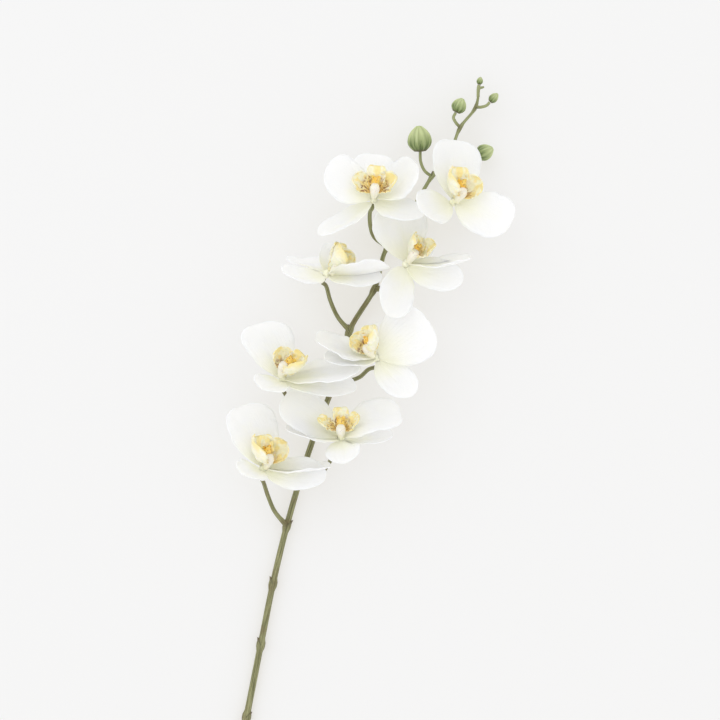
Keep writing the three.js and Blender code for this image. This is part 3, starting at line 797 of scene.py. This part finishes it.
def fan_veins_group():
    """Fine veins that run side by side from the root of a blade to its tip."""
    tree, given, result = new_tree(
        "fan_veins",
        "ShaderNodeTree",
        [("Count", "NodeSocketFloat", 9.0), ("Sharpness", "NodeSocketFloat", 6.0)],
        [("Vein", "NodeSocketFloat")],
    )
    s, v, phase = blade_readings(tree)
    drift = noise(tree, joined_vector(tree, s * 3, v * 3, phase), 1.5, 2.0) * 0.12
    fan = (v + drift) * Reading(tree, given.outputs["Count"]) * math.pi
    vein = fan.sin().size().other_share() ** Reading(tree, given.outputs["Sharpness"])
    tree.links.new((vein * s.ramp(1.0, 0.6)).socket, result.inputs["Vein"])
    return tree


def veins(tree, count, sharpness):
    """Vein reading at a material's own count and sharpness."""
    node = tree.nodes.new("ShaderNodeGroup")
    node.node_tree = FAN_VEINS
    node.inputs["Count"].default_value = count
    node.inputs["Sharpness"].default_value = sharpness
    return Reading(tree, node.outputs["Vein"])


def translucent(shader, weight, radius, scale):
    """Lets light wander below a surface."""
    shader.inputs["Subsurface Weight"].default_value = weight
    shader.inputs["Subsurface Radius"].default_value = radius
    shader.inputs["Subsurface Scale"].default_value = scale


def glowing(shader, colour, strength):
    """Gives a surface a little light of its own."""
    shader.inputs["Emission Color"].default_value = (*colour, 1)
    shader.inputs["Emission Strength"].default_value = strength


def petal_material():
    """Waxy white with a green and cream tint at the root and along the middle, a painted cool
    highlight along the edges and a faint painted glow.
    """
    material, tree, shader = new_material("petal_white")
    s, v, _ = blade_readings(tree)
    height, cloud = skin(tree, 1100.0, 45.0)
    vein = veins(tree, 8.0, 7.0)
    middle = (v * v * -5).exp() * s.ramp(1.0, 0.2) * cloud.ramp(0.35, 0.6)
    root = s.ramp(0.62, 0.05)
    white = mixed(tree, cloud.ramp(0.35, 0.7), (0.895, 0.90, 0.91), (0.915, 0.92, 0.93))
    # Painted highlight: the edges turn a cooler, brighter white, as if light caught the rims.
    highlighted_rims = mixed(tree, v.size().ramp(0.6, 1.0) * 0.8, white, (0.90, 0.92, 0.96))
    cream = mixed(tree, middle * 0.8, highlighted_rims, (0.92, 0.92, 0.76))
    tinted = mixed(tree, root * 0.8, cream, (0.915, 0.90, 0.58))
    colour = mixed(tree, vein * 0.1, tinted, (0.88, 0.89, 0.83))
    surface(tree, shader, colour, cloud * 0.15 + 0.45, height * 0.35 - vein * 0.6, 0.0003)
    translucent(shader, 0.8, (1.0, 0.97, 0.9), 0.005)
    shader.inputs["Specular IOR Level"].default_value = 0.35
    # Painted light: a faint glow of the petals' own lifts the shade among them, in place of light
    # shining through the thin tissue.
    glowing(shader, (1, 1, 1), 0.04)
    return material


def loft(name, rings, material, sides, ridge=0.0, ridges=5):
    """Closed round body through rings of (x, y, z, radius) in millimetres."""
    rings = np.array(rings, float)
    centres = [place(ring[:3]) for ring in rings]
    side = Vector((0, 0, 1))
    points, steps = [], len(rings)
    for k, centre in enumerate(centres):
        along = (centres[min(k + 1, steps - 1)] - centres[max(k - 1, 0)]).normalized()
        side = (side - along * side.dot(along)).normalized()
        other = along.cross(side)
        for j in range(sides):
            turn = 2 * math.pi * j / sides
            reach = rings[k][3] * MM * (1 + ridge * math.cos(ridges * turn))
            points.append(centre + (side * math.cos(turn) + other * math.sin(turn)) * reach)
    ends = [len(points), len(points) + 1]
    points += [centres[0], centres[-1]]
    faces = []
    for j in range(sides):
        n = (j + 1) % sides
        faces.append((ends[0], n, j))
        faces.append((ends[1], (steps - 1) * sides + j, (steps - 1) * sides + n))
        for a in range(0, (steps - 1) * sides, sides):
            faces.append((a + j, a + n, a + sides + n, a + sides + j))
    mesh = bpy.data.meshes.new(name)
    mesh.from_pydata(points, [], faces)
    mesh.shade_smooth()
    run = np.repeat(np.linspace(0, 1, steps), sides).tolist() + [0.0, 1.0]
    turns = np.tile(np.arange(sides) / sides, steps).tolist() + [0.0, 0.0]
    for key, values in (("run", run), ("turn", turns)):
        mesh.attributes.new(key, "FLOAT", "POINT").data.foreach_set("value", values)
    mesh.materials.append(material)
    obj = bpy.data.objects.new(name, mesh)
    bpy.context.scene.collection.objects.link(obj)
    return obj


def hub_drum(hub, forward):
    """The small drum that the tepals spring from, in the white of a petal's middle."""
    rings = [
        (*(Vector(hub) + forward * (HUB_RADIUS * along)), radius * HUB_RADIUS)
        for along, radius in HUB_OUTLINE
    ]
    drum = loft("hub", rings, PETAL_WHITE, sides=20)
    place_in_blade = drum.data.attributes.new("blade", "FLOAT_VECTOR", "POINT")
    place_in_blade.data.foreach_set("vector", HUB_TINT * len(drum.data.vertices))
    return drum


def tepal(index, k, values):
    """One petal or sepal. One that is turned on edge springs from lower on the hub."""
    kind, heading, rise, turn, curl, length, width = values
    hub, facing, tilt = BLOOM_PLACES[index]
    forward, up, _ = axes_for(facing, tilt, 0)
    axis = direction(heading, rise)
    normal = (forward - axis * forward.dot(axis)).normalized()
    normal.rotate(Matrix.Rotation(math.radians(-turn), 3, axis))
    drop = abs(math.sin(math.radians(turn))) * TURNED_DROP
    ahead = PETAL_AHEAD if kind is PETAL else SEPAL_AHEAD
    return blade(
        f"tepal_{index}_{k}",
        Vector(hub) + axis * ROOT_OFFSET + forward * ahead - up * drop,
        axis,
        normal,
        TEPAL_THICKNESS,
        PETAL_WHITE,
        curl,
        length=length,
        width=width,
        groove=TEPAL_GROOVE,
        phase=PHASE_STEP * k + index,
        **kind,
        **TEPAL_GRID,
    )


FAN_VEINS = fan_veins_group()
PETAL_WHITE = petal_material()
for index, (hub, facing, tilt) in enumerate(BLOOM_PLACES):
    forward = axes_for(facing, tilt, 0)[0]
    grown = [tepal(index, k, values) for k, values in enumerate(TEPALS[index])]
    grown.append(hub_drum(hub, forward))
    petals = join(f"bloom_{index + 1}_petals", grown)
    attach(petals, "root")
    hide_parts(f"bloom_{index + 1}_tepals")

# Lips: the yellow middle of each bloom. A swollen throat carries two side lobes that fold in
# over it and a middle lobe, with a raised orange callus in the mouth. Cream towards the edges,
# and streaked and spotted red-brown inside.
LIP_START = HUB_RADIUS + 0.6
LOBE_ROOT = 2
LOBE_THICKNESS = 0.9
LOBE_RELIEF = {"ruffle": 1.0, "rim": 0.5, "groove": 0.5, "crumple": 3.8, "rows": 30, "columns": 21}
SIDE = {"base": 0.5, "tip": 0.28, "cup": 0.5, "wave": 1.5, "up": 2}
MIDDLE = {"base": 0.42, "tip": 0.2, "cup": 0.4, "wave": 1.2, "up": 3}
# Lips: size of each, then heading, tilt and spin of its axes.
LIP_SIZES = [1.3, 1.04, 1.38, 1.22, 1.16, 1.12, 1.15, 1.34]
LIP_FACINGS = [
    (85, 47, 40),
    (112, 47, 0),
    (97, 46, -38),
    (146, 50, -38),
    (64, 56, 50),
    (73, 54, 15),
    (104, 45, 0),
    (75, 43, 38),
]
# Each lobe: form, turn to the right, lift away from the column, roll of its face towards the
# right, curl, length, width.
LOBES = [
    [
        (SIDE, 44, 10, -66, 50, 20, 16),
        (SIDE, -40, 3, 94, 60, 25, 21),
        (MIDDLE, -8, 32, 0, -30, 18, 14),
    ],
    [
        (SIDE, 52, 10, -70, 45, 21, 14),
        (SIDE, -60, 10, 75, 30, 22, 11),
        (MIDDLE, 0, 36, 10, -30, 19, 13),
    ],
    [
        (SIDE, 36, 2, -90, 45, 23, 17),
        (SIDE, -40, 10, 68, 50, 17, 13),
        (MIDDLE, 8, 34, 0, -30, 16, 12),
    ],
    [
        (SIDE, 34, 3, -94, 50, 23, 17),
        (SIDE, -40, 10, 66, 50, 19, 15),
        (MIDDLE, 5, 34, 0, -30, 18, 13),
    ],
    [
        (SIDE, 40, 10, -63, 50, 20, 15),
        (SIDE, -20, 0, 98, 60, 22, 20),
        (MIDDLE, 0, 30, 0, -30, 19, 14),
    ],
    [
        (SIDE, 34, 5, -80, 50, 23, 17),
        (SIDE, -26, 0, 92, 40, 22, 14),
        (MIDDLE, 0, 36, 0, -30, 17, 12),
    ],
    [
        (SIDE, 52, 10, -72, 45, 21, 16),
        (SIDE, -62, 10, 62, 40, 20, 15),
        (MIDDLE, 0, 36, 0, -30, 19, 14),
    ],
    [
        (SIDE, 46, 10, -68, 50, 19, 15),
        (SIDE, -40, 3, 92, 50, 24, 18),
        (MIDDLE, -6, 34, 0, -30, 18, 13),
    ],
]
# How strongly the inside of each lip is blotched.
LIP_MARKS = [0.2, 0.6, 0.7, 1.0, 0.2, 0.2, 1.0, 0.5]
# Forward, up and radius of the throat.
THROAT = [(0, 1.4, 2.2), (4, 2.4, 2.6), (8, 3.6, 3.9), (11.5, 4.2, 3.6), (13.5, 4.4, 1.8)]
# Forward, up, outward and radius of each tooth of the callus, how far up and apart the teeth
# stand, and the side and size of each.
CALLUS = [
    (7, 0, 0, 0.6),
    (8.5, 1.2, 0.4, 1.5),
    (10.5, 2, 1, 1.9),
    (12.4, 2.2, 1.6, 1.3),
    (13.4, 2, 1.9, 0.3),
]
CALLUS_UP = 5
CALLUS_APART = 1.2
CALLUS_TEETH = ((1, 1), (-1, 0.8))


def lip_axes(index):
    """Forward, up and right of a lip."""
    return axes_for(*LIP_FACINGS[index])


def lip_point(index, forward, up, right):
    """Point of a lip or column, from distances forward, up and to the right of the hub."""
    axes = lip_axes(index)
    return Vector(BLOOM_PLACES[index][0]) + axes[0] * forward + axes[1] * up + axes[2] * right


def lip_material():
    """Cream outside, pale yellow within, gold in the throat with red-brown streaks, and a faint
    painted glow.
    """
    material, tree, shader = new_material("lip_yellow")
    s, v, phase = blade_readings(tree)
    within = attribute(tree, "face").ramp(0.35, 0.65)
    height, cloud = skin(tree, 1300.0, 160.0)
    vein = veins(tree, 5.0, 3.0)
    patch = noise(tree, joined_vector(tree, s * 3, v * 1.5, phase), 1.2, 1.0)
    edge = (s.ramp(0.65, 1.0) + v.size().ramp(0.75, 1.0) * 0.7).at_most(1) * patch.ramp(0.35, 0.55)
    cream = mixed(tree, cloud.ramp(0.3, 0.7), (0.90, 0.875, 0.67), (0.93, 0.915, 0.79))
    outside = mixed(tree, edge * 0.8, cream, (0.95, 0.78, 0.32))
    yellow = mixed(tree, patch.ramp(0.58, 0.42), (0.95, 0.80, 0.38), (0.94, 0.91, 0.71))
    inside = mixed(tree, s.ramp(0.5, 0.15) * 0.75, yellow, (0.95, 0.64, 0.12))
    plain = mixed(tree, within, outside, inside)
    blots = noise(tree, joined_vector(tree, s * 7, v * 4, phase), 1.0, 2.0).ramp(0.5, 0.56)
    streaks = (vein.ramp(0.3, 0.7) * 0.4 + blots).at_most(1) * within
    zone = s.ramp(0.1, 0.2) * s.ramp(0.65, 0.4) * attribute(tree, "marks")
    colour = mixed(tree, streaks * zone, plain, (0.30, 0.12, 0.03))
    creases = noise(tree, joined_vector(tree, s * 6, v * 3, phase), 1.2, 1.0)
    relief = height * 0.4 - vein * 0.5 + creases * 3
    surface(tree, shader, colour, cloud * 0.15 + 0.42, relief, 0.0004)
    translucent(shader, 0.4, (1.0, 0.85, 0.5), 0.0015)
    # Painted light: a faint warm glow of the lobes' own lifts the shade inside the folded lip.
    glowing(shader, (1.0, 0.9, 0.6), 0.04)
    return material


def callus_material():
    """Throat and callus: pale foot, orange mouth with red-brown freckles."""
    material, tree, shader = new_material("callus_orange")
    run = attribute(tree, "run")
    height, cloud = skin(tree, 1300.0, 260.0)
    gold = mixed(tree, cloud.ramp(0.35, 0.6), (0.93, 0.54, 0.06), (0.93, 0.68, 0.18))
    foot = mixed(tree, run.ramp(0.35, 0.85), (0.87, 0.80, 0.50), gold)
    freckles = noise(tree, place_on_piece(tree), 600.0, 1.0).ramp(0.58, 0.66)
    colour = mixed(tree, freckles * 0.7, foot, (0.33, 0.13, 0.03))
    surface(tree, shader, colour, cloud * 0.1 + 0.35, height * 0.5, 0.0003)
    translucent(shader, 0.2, (1.0, 0.6, 0.2), 0.0015)
    return material


def lobe(index, k, values):
    """One lobe of a lip. Its face looks past the column, or to the side it is rolled to."""
    form, turn, lift, roll, curl, length, width = values
    size = LIP_SIZES[index]
    forward, up, right = lip_axes(index)
    turned, lifted = math.radians(turn), math.radians(lift)
    level = forward * math.cos(turned) + right * math.sin(turned)
    axis = level * math.cos(lifted) + up * math.sin(lifted)
    face = (axis * up.dot(axis) - up).normalized()
    face.rotate(Matrix.Rotation(math.radians(roll), 3, axis))
    side = (turn > 0) - (turn < 0)
    relief = {key: form[key] for key in ("base", "tip", "cup", "wave")}
    shaped = blade(
        f"lobe_{index}_{k}",
        lip_point(index, LIP_START + LOBE_ROOT, form["up"], side),
        axis,
        face,
        LOBE_THICKNESS,
        LIP_YELLOW,
        curl,
        length=length * size,
        width=width * size,
        phase=float(index + side),
        **relief,
        **LOBE_RELIEF,
    )
    marks = shaped.data.attributes.new("marks", "FLOAT", "POINT")
    marks.data.foreach_set("value", [LIP_MARKS[index]] * len(shaped.data.vertices))
    return shaped


def throat(index):
    """The swollen tube that the lobes grow from."""
    size = LIP_SIZES[index]
    rings = [
        (*lip_point(index, LIP_START + forward * size, up, 0), radius)
        for forward, up, radius in THROAT
    ]
    tube = smooth_path(rings, 0.7)
    return loft("throat", tube, CALLUS_ORANGE, sides=24, ridge=0.08, ridges=2)


def callus_bumps(index):
    """Two rounded teeth of unlike size, side by side on the mouth of the throat."""
    size = LIP_SIZES[index]
    for hand, grown in CALLUS_TEETH:
        rings = []
        for forward, up, out, radius in CALLUS:
            reach, aside = LIP_START + forward * size, hand * (CALLUS_APART + out)
            rings.append((*lip_point(index, reach, CALLUS_UP + up, aside), radius * grown))
        tooth = smooth_path(rings, 0.5)
        yield loft("callus", tooth, CALLUS_ORANGE, sides=18, ridge=0.12, ridges=3)


LIP_YELLOW = lip_material()
CALLUS_ORANGE = callus_material()
for index, lobes in enumerate(LOBES):
    parts = [lobe(index, k, values) for k, values in enumerate(lobes)]
    parts += [throat(index), *callus_bumps(index)]
    lip = join(f"bloom_{index + 1}_lip_lobes", parts)
    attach(lip, "root")
    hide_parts(f"bloom_{index + 1}_lip")

# Columns: the cream rod that holds pollen and stigma, standing over the throat of each lip,
# with a small rounded cap on its end. Each is one waxy body.
COLUMN_DOWN = 3.4
COLUMN_STEP = 2.3
COLUMN_ARCH = 0.95
COLUMN_RADII = [2.4, 3.0, 3.6, 4.1, 4.1, 3.0]
COLUMN_CAP_REACH = 0.1
COLUMN_CAP_RADII = (1.2, 0.2)


def column_material():
    """Cream with a greenish root and a few brown freckles below the cap."""
    material, tree, shader = new_material("column_cream")
    run = attribute(tree, "run")
    height, cloud = skin(tree, 1300.0, 200.0)
    cream = mixed(tree, cloud.ramp(0.3, 0.7), (0.90, 0.855, 0.71), (0.93, 0.895, 0.80))
    rooted = mixed(tree, run.ramp(0.5, 0.0) * 0.6, cream, (0.89, 0.87, 0.64))
    freckles = noise(tree, place_on_piece(tree), 1100.0, 1.0).ramp(0.63, 0.7)
    band = run.ramp(0.55, 0.7) * run.ramp(0.9, 0.8)
    colour = mixed(tree, freckles * band * 0.6, rooted, (0.42, 0.20, 0.10))
    surface(tree, shader, colour, cloud * 0.1 + 0.33, height * 0.4, 0.0003)
    translucent(shader, 0.25, (1.0, 0.9, 0.6), 0.0015)
    return material


def column_rings(index):
    """Rings of a column: an arched rod, closed by its cap."""
    last = len(COLUMN_RADII) - 1
    size = LIP_SIZES[index]
    rings = []
    for k, radius in enumerate(COLUMN_RADII):
        down = COLUMN_DOWN - COLUMN_ARCH * (k / last) ** 2
        rings.append((*lip_point(index, LIP_START + k * COLUMN_STEP * size, -down, 0), radius))
    reach = LIP_START + (last * COLUMN_STEP + COLUMN_CAP_REACH) * size
    cap = lip_point(index, reach, -COLUMN_DOWN + COLUMN_ARCH, 0)
    return [*smooth_path(rings, 0.6), *((*cap, radius) for radius in COLUMN_CAP_RADII)]


COLUMN_CREAM = column_material()
for index in range(len(LIP_SIZES)):
    column = loft(f"bloom_{index + 1}_column_rod", column_rings(index), COLUMN_CREAM, sides=24)
    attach(column, "root")
    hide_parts(f"bloom_{index + 1}_column")

# Buds: closed flowers at the tip of the spike, the largest the lowest. Green sepals meet in
# shallow grooves, pale at the top and darker and browner at the foot.
# Each one: length, width and depth of its grooves.
BUD_SIZES = [
    (21.5, 20.3, 0.05),
    (15, 14, 0.04),
    (13, 12.5, 0.04),
    (9.5, 7.5, 0.03),
    (6.5, 5.5, 0.03),
]
BUD_OUTLINE = [0.5, 0.84, 1, 0.99, 0.88, 0.64, 0.24]
BUD_GAP = 0.35
BUD_STEPS_ACROSS = 40
BUD_FOOT_SHARE = 0.25
BUD_TIP_SHARE = 0.1
BUD_TIP_REACH = 1.012


def bud_material():
    """Green with fine lengthwise fibres, a brown foot and darker grooves."""
    material, tree, shader = new_material("bud_green")
    run = attribute(tree, "run")
    turn = attribute(tree, "turn") * (2 * math.pi)
    height, cloud = skin(tree, 1100.0, 110.0)
    groove = (turn * 5).cos() * -0.5 + 0.5
    fibres = noise(tree, joined_vector(tree, turn.cos() * 2, turn.sin() * 2, run * 0.6), 3.5, 3.0)
    body = mixed(tree, run.ramp(0.1, 0.8), (0.17, 0.24, 0.06), (0.56, 0.63, 0.30))
    streaked = mixed(tree, fibres.ramp(0.5, 0.7) * 0.5, body, (0.60, 0.66, 0.38))
    # Dark streaks that thicken towards the foot.
    foot_dark_streaks = fibres.ramp(0.52, 0.4) * run.ramp(0.75, 0.15) * 0.85
    foot_streaked = mixed(tree, foot_dark_streaks, streaked, (0.055, 0.10, 0.025))
    grooved = mixed(tree, (groove**4) * 0.3, foot_streaked, (0.12, 0.17, 0.05))
    colour = mixed(tree, run.ramp(0.2, 0.03) * 0.85, grooved, (0.10, 0.075, 0.035))
    surface(tree, shader, colour, cloud * 0.15 + 0.4, fibres + height * 0.3, 0.0006)
    translucent(shader, 0.1, (0.6, 1.0, 0.3), 0.002)
    return material


def bud_rings(stalk, length, width):
    """Rings of a bud: flat and rounded at its foot, drawn to a blunt point at its top."""
    foot = Vector(stalk[-1])
    along = (foot - Vector(stalk[-2])).normalized()
    last = len(BUD_OUTLINE) - 1
    rings = [
        (*(foot + along * (BUD_GAP + length * k / last)), share * width / 2)
        for k, share in enumerate(BUD_OUTLINE)
    ]
    inside = smooth_path(rings, width / BUD_STEPS_ACROSS)
    foot_end = (*(foot + along * BUD_GAP), BUD_FOOT_SHARE * width / 2)
    top = foot + along * (BUD_GAP + length * BUD_TIP_REACH)
    tip_end = (*top, BUD_TIP_SHARE * width / 2)
    return [foot_end, *inside, tip_end]


BUD_GREEN = bud_material()
for number, (path, (length, width, ridge)) in enumerate(zip(BUD_STALK_PATHS, BUD_SIZES), 1):
    rings = bud_rings(path, length, width)
    bud = loft(f"bud_{number}_body", rings, BUD_GREEN, sides=40, ridge=ridge)
    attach(bud, "root")
    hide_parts(f"bud_{number}")

# Surface, light and camera: the stem lies on a plain pale surface under soft light, seen from
# straight above.
FLOOR_SIZE = 24.0
FLOOR_COLOUR = (0.35, 0.39, 0.453)
FLOOR_GLOW = (0.545, 0.50, 0.43)
FLOOR_CLOUD_SHADE = 0.99
ROOM_LIGHT = 1.03
KEY_LIGHT_SPOT = (-1.6, 0.9, 2.3)
KEY_LIGHT_SIZE = 2.2
KEY_LIGHT_POWER = 7.0
KEY_LIGHT_COLOUR = (0.97, 0.985, 1.0)
CAMERA_OVER = (-29.7, 427.0)
CAMERA_HEIGHT = 1.8
CAMERA_TURN = 20
CAMERA_LENS = 102.9


def floor_material():
    """Pale surface lit a little from within, which keeps the shadows on it faint and warm."""
    material, tree, shader = new_material("floor_pale")
    cloud = noise(tree, place_on_piece(tree), 4.0, 2.0)
    darker = tuple(value * FLOOR_CLOUD_SHADE for value in FLOOR_COLOUR)
    tree.links.new(mixed(tree, cloud, darker, FLOOR_COLOUR), shader.inputs["Base Color"])
    glowing(shader, FLOOR_GLOW, 1.0)
    shader.inputs["Roughness"].default_value = 0.9
    shader.inputs["Specular IOR Level"].default_value = 0.1
    return material


def soft_light(name, spot, size, power, colour):
    """Round lamp that looks at the middle of the part."""
    lamp = bpy.data.lights.new(name, "AREA")
    lamp.shape = "DISK"
    lamp.size = size
    lamp.energy = power
    lamp.color = colour
    obj = bpy.data.objects.new(name, lamp)
    obj.location = spot
    obj.rotation_euler = (-Vector(spot)).to_track_quat("-Z", "Y").to_euler()
    bpy.context.scene.collection.objects.link(obj)


edge = FLOOR_SIZE / 2
floor_mesh = bpy.data.meshes.new("floor")
floor_mesh.from_pydata(
    [(-edge, -edge, 0), (edge, -edge, 0), (edge, edge, 0), (-edge, edge, 0)], [], [(0, 1, 2, 3)]
)
floor_mesh.materials.append(floor_material())
floor = bpy.data.objects.new("floor", floor_mesh)
bpy.context.scene.collection.objects.link(floor)

world = bpy.data.worlds.new("soft_room")
world.use_nodes = True
world.node_tree.nodes["Background"].inputs["Color"].default_value = (1.0, 1.0, 1.0, 1)
world.node_tree.nodes["Background"].inputs["Strength"].default_value = ROOM_LIGHT
bpy.context.scene.world = world
soft_light("key_light", KEY_LIGHT_SPOT, KEY_LIGHT_SIZE, KEY_LIGHT_POWER, KEY_LIGHT_COLOUR)
bpy.context.scene.view_settings.view_transform = "Standard"

camera = bpy.data.objects.new("camera", bpy.data.cameras.new("camera"))
over = place((*CAMERA_OVER, 0))
camera.location = (over.x, over.y, CAMERA_HEIGHT)
camera.rotation_euler = (0, 0, math.radians(CAMERA_TURN))
camera.data.lens = CAMERA_LENS
bpy.context.scene.collection.objects.link(camera)
bpy.context.scene.camera = camera
